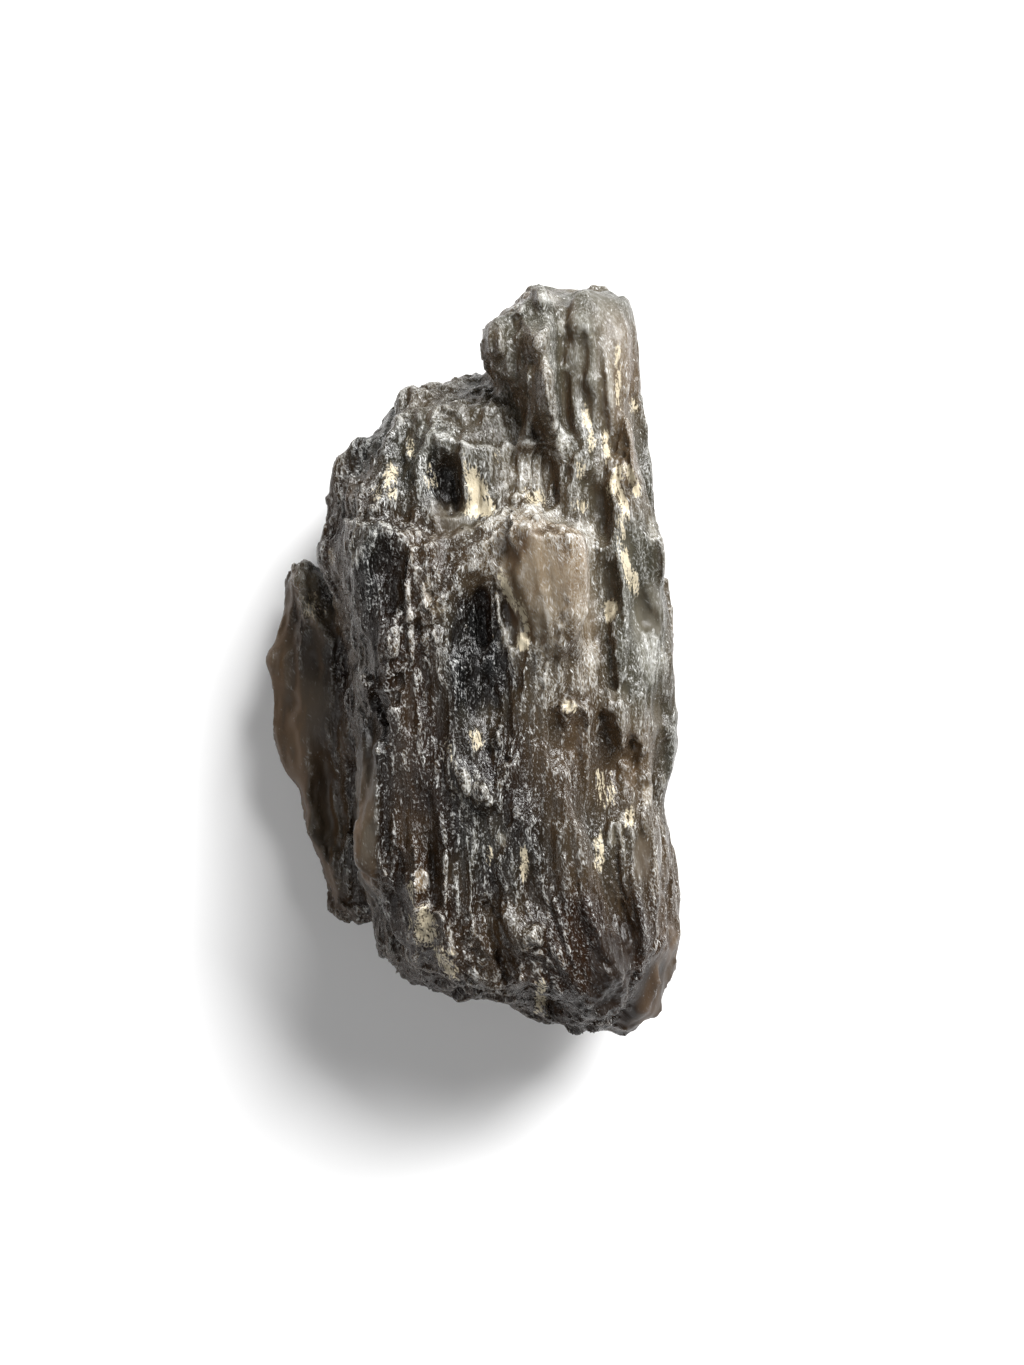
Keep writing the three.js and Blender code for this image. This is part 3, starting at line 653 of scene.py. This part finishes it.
def height_above(thing, rounds):
    """How far each point stands above its surroundings, in millimetres."""
    points = points_of(thing)
    height = ((points - neighbour_mean(thing, points, rounds)) * normals_of(thing)).sum(axis=1)
    print("height above the surroundings", np.percentile(height, [5, 50, 95]).round(3), "mm")
    return height


crest = np.clip(height_above(stone, NEAR_ROUNDS) / CREST_HEIGHT, -1, 1)
rise = np.clip(height_above(stone, WIDE_ROUNDS) / RISE_HEIGHT, -1, 1)

# %% [markdown]
# ## What each point is
# A point can lie on a crest, on a rise, on a wall or an end of the stone, in its upper part, on the floor
# of a hollow, on the edge of a ledge, in a rubbed place, in a place of painted light or shade, and in a
# cloud or streak of random noise. Each of these is a layer with one value for each point. Several carry
# painted
# light: the upper part, the crests and the ledges' edges are painted lit, and the walls turned away from
# the window light and the floors of the hollows are partly painted in shade.

# %% Layers
def soft_places(points, places, rag):
    """The strongest of the soft oval places at each point, with ragged rims."""
    total = np.zeros(len(points))
    for *place, share in places:
        inside = share * (1 - ramp(oval(points, *place) + 0.5 * rag, 0.4, 1.25))
        total = np.where(abs(inside) > abs(total), inside, total)
    return total


points, normals = points_of(stone), normals_of(stone)
x, y, _ = points.T
facing_x, facing_y, facing_z = normals.T
front = ramp(facing_z, 0.0, 0.35)
lightness = light_glass(points)
rag = ragged(points, 0.6, 81)
silt = soft_places(points, SILT, rag) * front
streaky = soft_noise(points, (0.35, 2.6, 0.35), 92) + soft_noise(points, (0.25, 0.9, 0.25), 93) - 1
_, floor, edge = face_forms(points, normals)
LAYERS = {
    "crest": crest * (1 - 0.4 * lightness),
    "rise": rise,
    # painted light: the upper part is painted paler and brighter, towards the window light
    "upper": ramp(y, -7, 6),
    # painted shade: walls that face left and walls that face down, away from the window, get less frost and
    # glint
    "walls": np.maximum(ramp(-facing_x, 0.2, 0.8), 0.7 * ramp(-facing_y, 0.2, 0.8)),
    "ends": ramp(abs(facing_y), 0.5, 0.95),
    # the floors of the hollows are painted darker, partly clear glass and partly painted shade
    "floor": floor,
    # painted highlight: a bright line along the edge of each ledge
    "edge": edge,
    "rubbed_and_painted_light": soft_places(points, RUBBED_AND_PAINTED_LIGHT, rag) * front,
    "clouds": soft_noise(points, (1.4, 3.0, 1.4), 91) - 0.5,
    "streaky": streaky,
}
for name, values in LAYERS.items():
    print(f"{name}: {values.min():.2f} to {values.max():.2f}")

# %% [markdown]
# ## Mixing and storing
# Frost and glint are sums of those layers. The weights say how much each layer adds: frosting sits on
# crests, edges and rubbed places and is thin on walls and floors, and bright specks follow the crests even
# more. Both carry painted light on top of the real frosting and clear glass: the upper part, the crests and
# the ledges' edges are painted paler and brighter, as where the window light catches them, and the walls
# turned away from it and the floors of the hollows are painted darker, as shade. The bright specks are
# painted highlights throughout. The other values need only a layer or two.

# %% Values for the material
# frost: real frosting plus painted light on the top, crests and edges and painted shade on walls and floors
FROST = {
    "upper": 0.09, "walls": -0.35, "crest": 0.28, "rise": 0.2, "rubbed_and_painted_light": 0.8,
    "edge": 0.3, "clouds": 0.3, "streaky": 0.2, "floor": -0.25,
}
# glint: painted highlights, bright specks where light would catch the crests, edges and knobs
GLINT = {
    "upper": 0.19, "walls": -0.4, "ends": -0.35, "crest": 0.6, "rise": 0.1, "rubbed_and_painted_light": 0.5,
    "edge": 0.6, "clouds": 0.25, "streaky": 0.25, "floor": -0.1,
}
LEAST_FROST = 0.12  # frost where no layer adds any


def mixed(weights):
    return sum(weight * LAYERS[name] for name, weight in weights.items())


def store(thing, name, values):
    attribute = thing.data.attributes.new(name, "FLOAT", "POINT")
    attribute.data.foreach_set("value", np.clip(values, 0, 1).astype(np.float32))
    print(f"{name}: mean {values.mean():.2f}")


store(stone, "frost", LEAST_FROST + mixed(FROST))
store(stone, "glint", mixed(GLINT))
store(stone, "silt", silt * (1 - 0.5 * np.maximum(rise, 0)) + 0.5 * streaky * (silt > 0.05))
cloudy = 0.5 * (soft_noise(points, (0.9, 1.7, 0.9), 97) - 0.5)
# partly painted light: lighter towards the window at the upper right, and on the walls as light shining
# through
tone = 0.05 + 0.95 * lightness + 0.25 * LAYERS["walls"] + cloudy
store(stone, "body", tone + soft_places(points, BODY_TONE, rag) * front)
# brown glass: the walls, the left side and the lower end; the peak is greyer
brown = 0.5 * LAYERS["walls"] + 0.4 * ramp(-x, 3.5, 6.5) + 0.6 * ramp(-y, 7, 12) - 0.15 * ramp(y, 4, 12)
store(stone, "warmth", 0.27 + brown + 1.3 * (soft_noise(points, (2.2, 4.0, 2.2), 94) - 0.45))
store(stone, "smooth", np.maximum(smoothness(points, normals), 0.2 * floor))

WANDER = 0.25  # millimetres that a drawn fibre wanders at most
wander = np.stack([soft_noise(points, (0.5, 0.7, 0.5), 95 + axis) for axis in range(3)], axis=1)
bend = MM * (WANDER * wander + swept(points) - points)
attribute = stone.data.attributes.new("bend", "FLOAT_VECTOR", "POINT")
attribute.data.foreach_set("vector", bend.astype(np.float32).ravel())
print(f"the drawn fibres bend by up to {np.linalg.norm(bend, axis=1).max() / MM:.1f} mm")

# %% [markdown]
# ## Etched smoky glass
# The real material is natural silica glass, smoky brown in itself and so dense in colour that a few
# millimetres look black. Etching by damp soil frosted it. Three finishes share one material: clear dark
# glass in the hollows, a grey frosting on what stands out, with painted glints, white specks that stand for
# light caught by tiny facets, and dried silt. A node material suits this best, because each finish is a mix
# of a stored value and a pattern. One function turns our colours to linear light, and one adds a node.

# %% Colours and nodes
def linear(hex_colour):
    """An sRGB colour such as "a0b0c0" as linear red, green, blue and alpha."""
    parts = [int(hex_colour[i : i + 2], 16) / 255 for i in (0, 2, 4)]
    return (*[p / 12.92 if p <= 0.04045 else ((p + 0.055) / 1.055) ** 2.4 for p in parts], 1.0)


glass = bpy.data.materials.new("etched smoky glass")
glass.use_nodes = True


def add_node(kind, output, *values, inputs=None, **settings):
    """Adds a node to the glass and gives one of its outputs. The values go to its first inputs, and those in
    inputs to the ones with that name or number. A value is a number, or another node's output to link. All
    other words are the node's settings."""
    node = glass.node_tree.nodes.new("ShaderNode" + kind)
    for name, value in settings.items():
        setattr(node, name, value)
    for name, value in itertools.chain(enumerate(values), (inputs or {}).items()):
        if isinstance(value, bpy.types.NodeSocket):
            glass.node_tree.links.new(value, node.inputs[name])
        else:
            node.inputs[name].default_value = value
    return node.outputs[output]


STORED = ("frost", "glint", "silt", "warmth", "body", "smooth")
stored = {name: add_node("Attribute", "Fac", attribute_name=name) for name in STORED}
print("stored values:", ", ".join(stored))
print("mid grey, 808080, is", round(linear("808080")[0], 3), "in linear light")

# %% [markdown]
# ## Patterns along the fibres
# Two noises draw the frosting: one is stretched along the fibres, because they show in it, and one is
# grainy. A Mapping node divides the place on the stone by the size of a lump, so the sizes are real ones in
# millimetres. The stored bend is added to the place first, so that all the patterns lean, sweep and wander
# as the fibres do.

# %% Streaks and grain
bend = add_node("Attribute", "Vector", attribute_name="bend")
place = add_node("VectorMath", 0, add_node("TexCoord", "Object"), bend, operation="ADD")


def stretched(size, lean=0.0, shift=0.0):
    """The place on the stone, measured in lumps of that size in millimetres and turned to lean."""
    inputs = {"Vector": place, "Rotation": (0, 0, lean), "Scale": [side * MM for side in size]}
    turned = add_node("Mapping", 0, inputs=inputs, vector_type="TEXTURE")
    return add_node("VectorMath", 0, turned, (shift, shift, shift), operation="ADD")


STREAK_SIZE = (0.09, 0.8, 0.09)  # millimetres along x, y and z, as in all the sizes below
GRAIN_SIZE = (0.08, 0.12, 0.08)
noise = {"Scale": 1.0, "Detail": 2.0}
streaks = add_node("TexNoise", "Fac", inputs={"Vector": stretched(STREAK_SIZE), **noise})
grain = add_node("TexNoise", "Fac", inputs={"Vector": stretched(GRAIN_SIZE, shift=3.0), **noise})
print("streaks of", STREAK_SIZE, "mm and grain of", GRAIN_SIZE, "mm")

# %% [markdown]
# ## Frosting
# The noises swing the stored frost up and down, and a soft step turns the result into patches with uneven
# borders. They count less in the smooth places and in the light glass, which are calmer: "rough" is 1 in
# dark, well-etched glass and 0 where it is fully smooth.

# %% Frosting
etched = add_node("Math", 0, 1.0, stored["smooth"], operation="SUBTRACT")
calmer = add_node("Math", 0, stored["body"], -0.45, 1.0, operation="MULTIPLY_ADD")
rough = add_node("Math", 0, etched, calmer, operation="MULTIPLY")
grain_swing = add_node("Math", 0, grain, 0.5, operation="SUBTRACT")
streak_swing = add_node("Math", 0, streaks, 0.5, operation="SUBTRACT")
swing = add_node("Math", 0, grain_swing, 0.7, streak_swing, operation="MULTIPLY_ADD")
swing_share = add_node("Math", 0, rough, 0.55, 0.45, operation="MULTIPLY_ADD")
marks = add_node("Math", 0, swing, swing_share, operation="MULTIPLY")
MARK_STRENGTH = 1.2  # how strongly the noises move the stored frost and glint
frost = add_node("Math", 0, marks, MARK_STRENGTH, stored["frost"], operation="MULTIPLY_ADD")
frosting = add_node("MapRange", 0, frost, 0.1, 1.3, interpolation_type="SMOOTHSTEP")
print("the frosting takes", len(glass.node_tree.nodes), "nodes")

# %% [markdown]
# ## Painted glints
# The bright specks are painted highlights: white that stands for light caught by tiny facets. Each speck
# is a cell of a Voronoi pattern, stretched along the fibres, whose own random numbers say whether it shows
# and how bright it is. Real facets are a few hundredths of a millimetre wide. Ours are about twice as
# coarse, so that they don't turn into noise in a picture. They lie in two directions, with a web of bright
# cusps between them where the etching is strongest, and the highest crests are painted bright all over,
# as highlights.

# %% Painted glints, cusps and crest highlights
def glint_flecks(size, lean, glint):
    """Separate flecks of painted glint and how bright each is. Glint is the share that shows, from 0 to 1.
    """
    distance = add_node("TexVoronoi", "Distance", inputs={"Vector": stretched(size, lean), "Scale": 1.0})
    own = add_node("SeparateColor", 0, distance.node.outputs["Color"]).node
    chance = add_node("Math", 0, own.outputs[0], glint, operation="ADD")
    shown = add_node("MapRange", 0, chance, 0.85, 1.15, interpolation_type="SMOOTHSTEP")
    shape = add_node("MapRange", 0, distance, 0.6, 0.15, interpolation_type="SMOOTHSTEP")
    few_bright = add_node("Math", 0, own.outputs[1], 3.0, operation="POWER")
    level = add_node("Math", 0, few_bright, 0.85, 0.15, operation="MULTIPLY_ADD")
    spots = add_node("Math", 0, shown, shape, operation="MULTIPLY")
    return add_node("Math", 0, spots, level, operation="MULTIPLY")


glint = add_node("Math", 0, marks, MARK_STRENGTH, stored["glint"], operation="MULTIPLY_ADD")
UPRIGHT_GLINT, UPRIGHT_LEAN = (0.065, 0.42, 0.065), -0.15  # millimetres and radians
SLANTING_GLINT, SLANTING_LEAN = (0.065, 0.3, 0.065), 0.65
upright = glint_flecks(UPRIGHT_GLINT, UPRIGHT_LEAN, glint)
slanting = glint_flecks(SLANTING_GLINT, SLANTING_LEAN, glint)

CUSP, CUSP_LEAN = (0.14, 0.3, 0.14), 0.3
web = {"Vector": stretched(CUSP, CUSP_LEAN), "Scale": 1.0}
border = add_node("TexVoronoi", "Distance", inputs=web, feature="DISTANCE_TO_EDGE")
line = add_node("MapRange", 0, border, 0.16, 0.02, interpolation_type="SMOOTHSTEP")
glint_and_grain = add_node("Math", 0, glint, grain, operation="ADD")
strongest = add_node("MapRange", 0, glint_and_grain, 0.5, 1.2, interpolation_type="SMOOTHSTEP")
cusps = add_node("Math", 0, line, strongest, operation="MULTIPLY")
half_rough = add_node("Math", 0, rough, 0.5, operation="MULTIPLY")
cusps = add_node("Math", 0, cusps, half_rough, operation="MULTIPLY")

# painted highlight: the highest crests are painted bright all over
high = add_node("MapRange", 0, glint, 0.75, 1.3, interpolation_type="SMOOTHSTEP")
crest_highlights = add_node("Math", 0, high, 0.85, operation="MULTIPLY")
painted_glints = add_node("Math", 0, upright, slanting, operation="MAXIMUM")
for pattern in (cusps, crest_highlights):
    painted_glints = add_node("Math", 0, painted_glints, pattern, operation="MAXIMUM")
bright_share = add_node("Math", 0, etched, 0.8, 0.2, operation="MULTIPLY_ADD")
painted_glints = add_node("Math", 0, painted_glints, bright_share, operation="MULTIPLY")
print("facets of", UPRIGHT_GLINT, "and", SLANTING_GLINT, "mm, and cusps of", CUSP, "mm")

# %% [markdown]
# ## Colours
# Most colours are a pair, from grey glass to brown, mixed by the stored warmth. The layers go on from the
# inside out: dark or light glass, satin glass in the smooth places, the matt frosting, which carries some
# painted light and shade, the painted glints, white specks that stand for light caught by tiny facets, and,
# on top, the silt. Silt is pale clay that dried in the grooves, so it has streaks and ragged borders.

# %% Layers of colour
DARK_GLASS = ("090908", "291a0e")
LIGHT_GLASS = ("444136", "5a4731")
DARK_SATIN = "20170f"
LIGHT_SATIN = ("6a6454", "7a6045")
FROSTED = ("777468", "8b775c")
# white of the painted glints, which stand for light caught by tiny facets
PAINTED_GLINT = "f0f1ee"
DRIED_SILT = "e2d5b8"
MOST_SILT = 0.85  # the glass still shows a little through the thickest silt


# a Mix node for colours has its share at input 0, its colours at 6 and 7, and the result at output 2
def grey_to_brown(pair):
    grey, brown = (linear(shade) for shade in pair)
    return add_node("Mix", 2, inputs={0: stored["warmth"], 6: grey, 7: brown}, data_type="RGBA")


streaky_silt = add_node("Math", 0, swing, 2.2, stored["silt"], operation="MULTIPLY_ADD")
streaky_silt = add_node("MapRange", 0, streaky_silt, 0.3, 0.85, interpolation_type="SMOOTHSTEP")
in_patches = add_node("MapRange", 0, stored["silt"], 0.05, 0.3, interpolation_type="SMOOTHSTEP")
silty = add_node("Math", 0, streaky_silt, in_patches, operation="MULTIPLY")
silty = add_node("Math", 0, silty, MOST_SILT, operation="MULTIPLY")

tones = {0: stored["body"], 6: linear(DARK_SATIN), 7: grey_to_brown(LIGHT_SATIN)}
satin = add_node("Mix", 2, inputs=tones, data_type="RGBA")
layers = [
    (stored["body"], grey_to_brown(LIGHT_GLASS)),
    (stored["smooth"], satin),
    (frosting, grey_to_brown(FROSTED)),
    (painted_glints, linear(PAINTED_GLINT)),
    (silty, linear(DRIED_SILT)),
]
colour = grey_to_brown(DARK_GLASS)
for share, layer in layers:
    colour = add_node("Mix", 2, inputs={0: share, 6: colour, 7: layer}, data_type="RGBA")
shader = glass.node_tree.nodes["Principled BSDF"]
glass.node_tree.links.new(colour, shader.inputs["Base Color"])
print(len(layers), "layers of colour lie on the dark glass")

# %% [markdown]
# ## Relief, gloss and depth
# A Bump node adds the finest pits and the ridges between fibres, a few hundredths of a millimetre deep. The
# glass is a Principled material of IOR 1.5 that lets about a third of the light in, and a Volume Absorption
# node swallows that light with a brown tint. The rest is scattered by the cracks under the surface, which
# the base colour stands for. The specular level is below its normal value, because tiny pits swallow part
# of the shine. The smooth places are satin, so they are rougher in the shader's sense but have less bump
# than the etched ones.

# %% Relief, gloss and depth
BUMP_DEPTH = 0.05  # millimetres
ETCHED_ROUGHNESS, SATIN_ROUGHNESS = 0.2, 0.55
ridges = add_node("Math", 0, streak_swing, operation="ABSOLUTE")
ridges = add_node("Math", 0, ridges, -1.6, operation="MULTIPLY")
height = add_node("Math", 0, grain, 0.6, ridges, operation="MULTIPLY_ADD")
strength = add_node("Math", 0, rough, 0.9, 0.1, operation="MULTIPLY_ADD")
relief = {"Height": height, "Strength": strength, "Distance": BUMP_DEPTH * MM}
bumpy = add_node("Bump", "Normal", inputs=relief)
glass.node_tree.links.new(bumpy, shader.inputs["Normal"])
gloss = {"Value": stored["smooth"], "To Min": ETCHED_ROUGHNESS, "To Max": SATIN_ROUGHNESS}
roughness = add_node("MapRange", 0, inputs=gloss)
glass.node_tree.links.new(roughness, shader.inputs["Roughness"])
shader.inputs["IOR"].default_value = 1.5
shader.inputs["Specular IOR Level"].default_value = 0.22
shader.inputs["Transmission Weight"].default_value = 0.35
tint = {"Color": (0.75, 0.6, 0.45, 1), "Density": 900.0}  # the density is for each metre
inside = add_node("VolumeAbsorption", "Volume", inputs=tint)
glass.node_tree.links.new(inside, glass.node_tree.nodes["Material Output"].inputs["Volume"])
stone.data.materials.clear()
stone.data.materials.append(glass)
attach(stone, "root")
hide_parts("stone")
print("the stone has one material of", len(glass.node_tree.nodes), "nodes")

# %% [markdown]
# ## The table and the sky
# The stone lies on a sheet of white paper. A dim white world stands for the light that the room throws back.

# %% Stage
bpy.ops.object.select_all(action="DESELECT")
bpy.ops.mesh.primitive_plane_add(size=4.0, location=(0, 0, 0))
table = bpy.context.object
table.name = "table"
# uncoated paper is matt, so it shows soft shadows and no reflection of the stone
paper = bpy.data.materials.new("white paper")
paper.use_nodes = True
paper.node_tree.nodes["Principled BSDF"].inputs["Base Color"].default_value = linear("f2f2f2")
paper.node_tree.nodes["Principled BSDF"].inputs["Roughness"].default_value = 0.9
table.data.materials.append(paper)
table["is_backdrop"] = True

world = bpy.data.worlds.new("studio")
bpy.context.scene.world = world
world.use_nodes = True
world.node_tree.nodes["Background"].inputs["Color"].default_value = (1, 1, 1, 1)
world.node_tree.nodes["Background"].inputs["Strength"].default_value = 0.11
print("a table of", table.dimensions.x, "m and a dim white world")

# %% [markdown]
# ## Two lights
# A square area light stands to the upper right like a window and models the flutes. A weaker one at the
# lower left softens the shadow.

# %% Lights
STONE_MIDDLE = Vector((0, 0, 0.006))


def soft_light(name, place, side, power):
    """A square area light at a place in metres, turned to the stone. Its power is in watts."""
    bpy.ops.object.light_add(type="AREA", location=place)
    lamp = bpy.context.object
    lamp.name = name
    lamp.data.size = side
    lamp.data.energy = power
    lamp.rotation_euler = (STONE_MIDDLE - Vector(place)).to_track_quat("-Z", "Y").to_euler()
    print(f"{name}: {power} W, {(Vector(place) - STONE_MIDDLE).length:.2f} m from the stone")


soft_light("window", place=(0.40, 0.50, 0.50), side=0.5, power=19.5)
soft_light("fill", place=(-0.30, -0.25, 0.65), side=0.5, power=1.8)

# %% [markdown]
# ## The camera
# It hangs straight above the face. Its focal length is given in pixels of a picture that is 1365 pixels
# high, so we turn it into millimetres of a 36 mm sensor. The Standard view transform keeps the sheet white.

# %% Camera
CAMERA = (1.62, -0.91, 175.5)  # millimetres
FOCAL_PIXELS = 4146
PICTURE_HEIGHT = 1365
SENSOR = 36.0
bpy.ops.object.camera_add(location=[value * MM for value in CAMERA])
camera = bpy.context.object
camera.data.sensor_width = SENSOR
camera.data.lens = FOCAL_PIXELS / PICTURE_HEIGHT * SENSOR
camera.data.clip_start = 0.01
bpy.context.scene.camera = camera
bpy.context.scene.view_settings.view_transform = "Standard"
print(f"the lens is {camera.data.lens:.0f} mm")

# %% [markdown]
# ## Sizes
# The box of the finished stone is measured and printed, as the box of the plain solid was at the start.

# %% Sizes and the end
shown_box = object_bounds()
shown_low, shown_high = shown_box
print("the finished stone spans", np.round((shown_high - shown_low) / MM, 2), "mm")
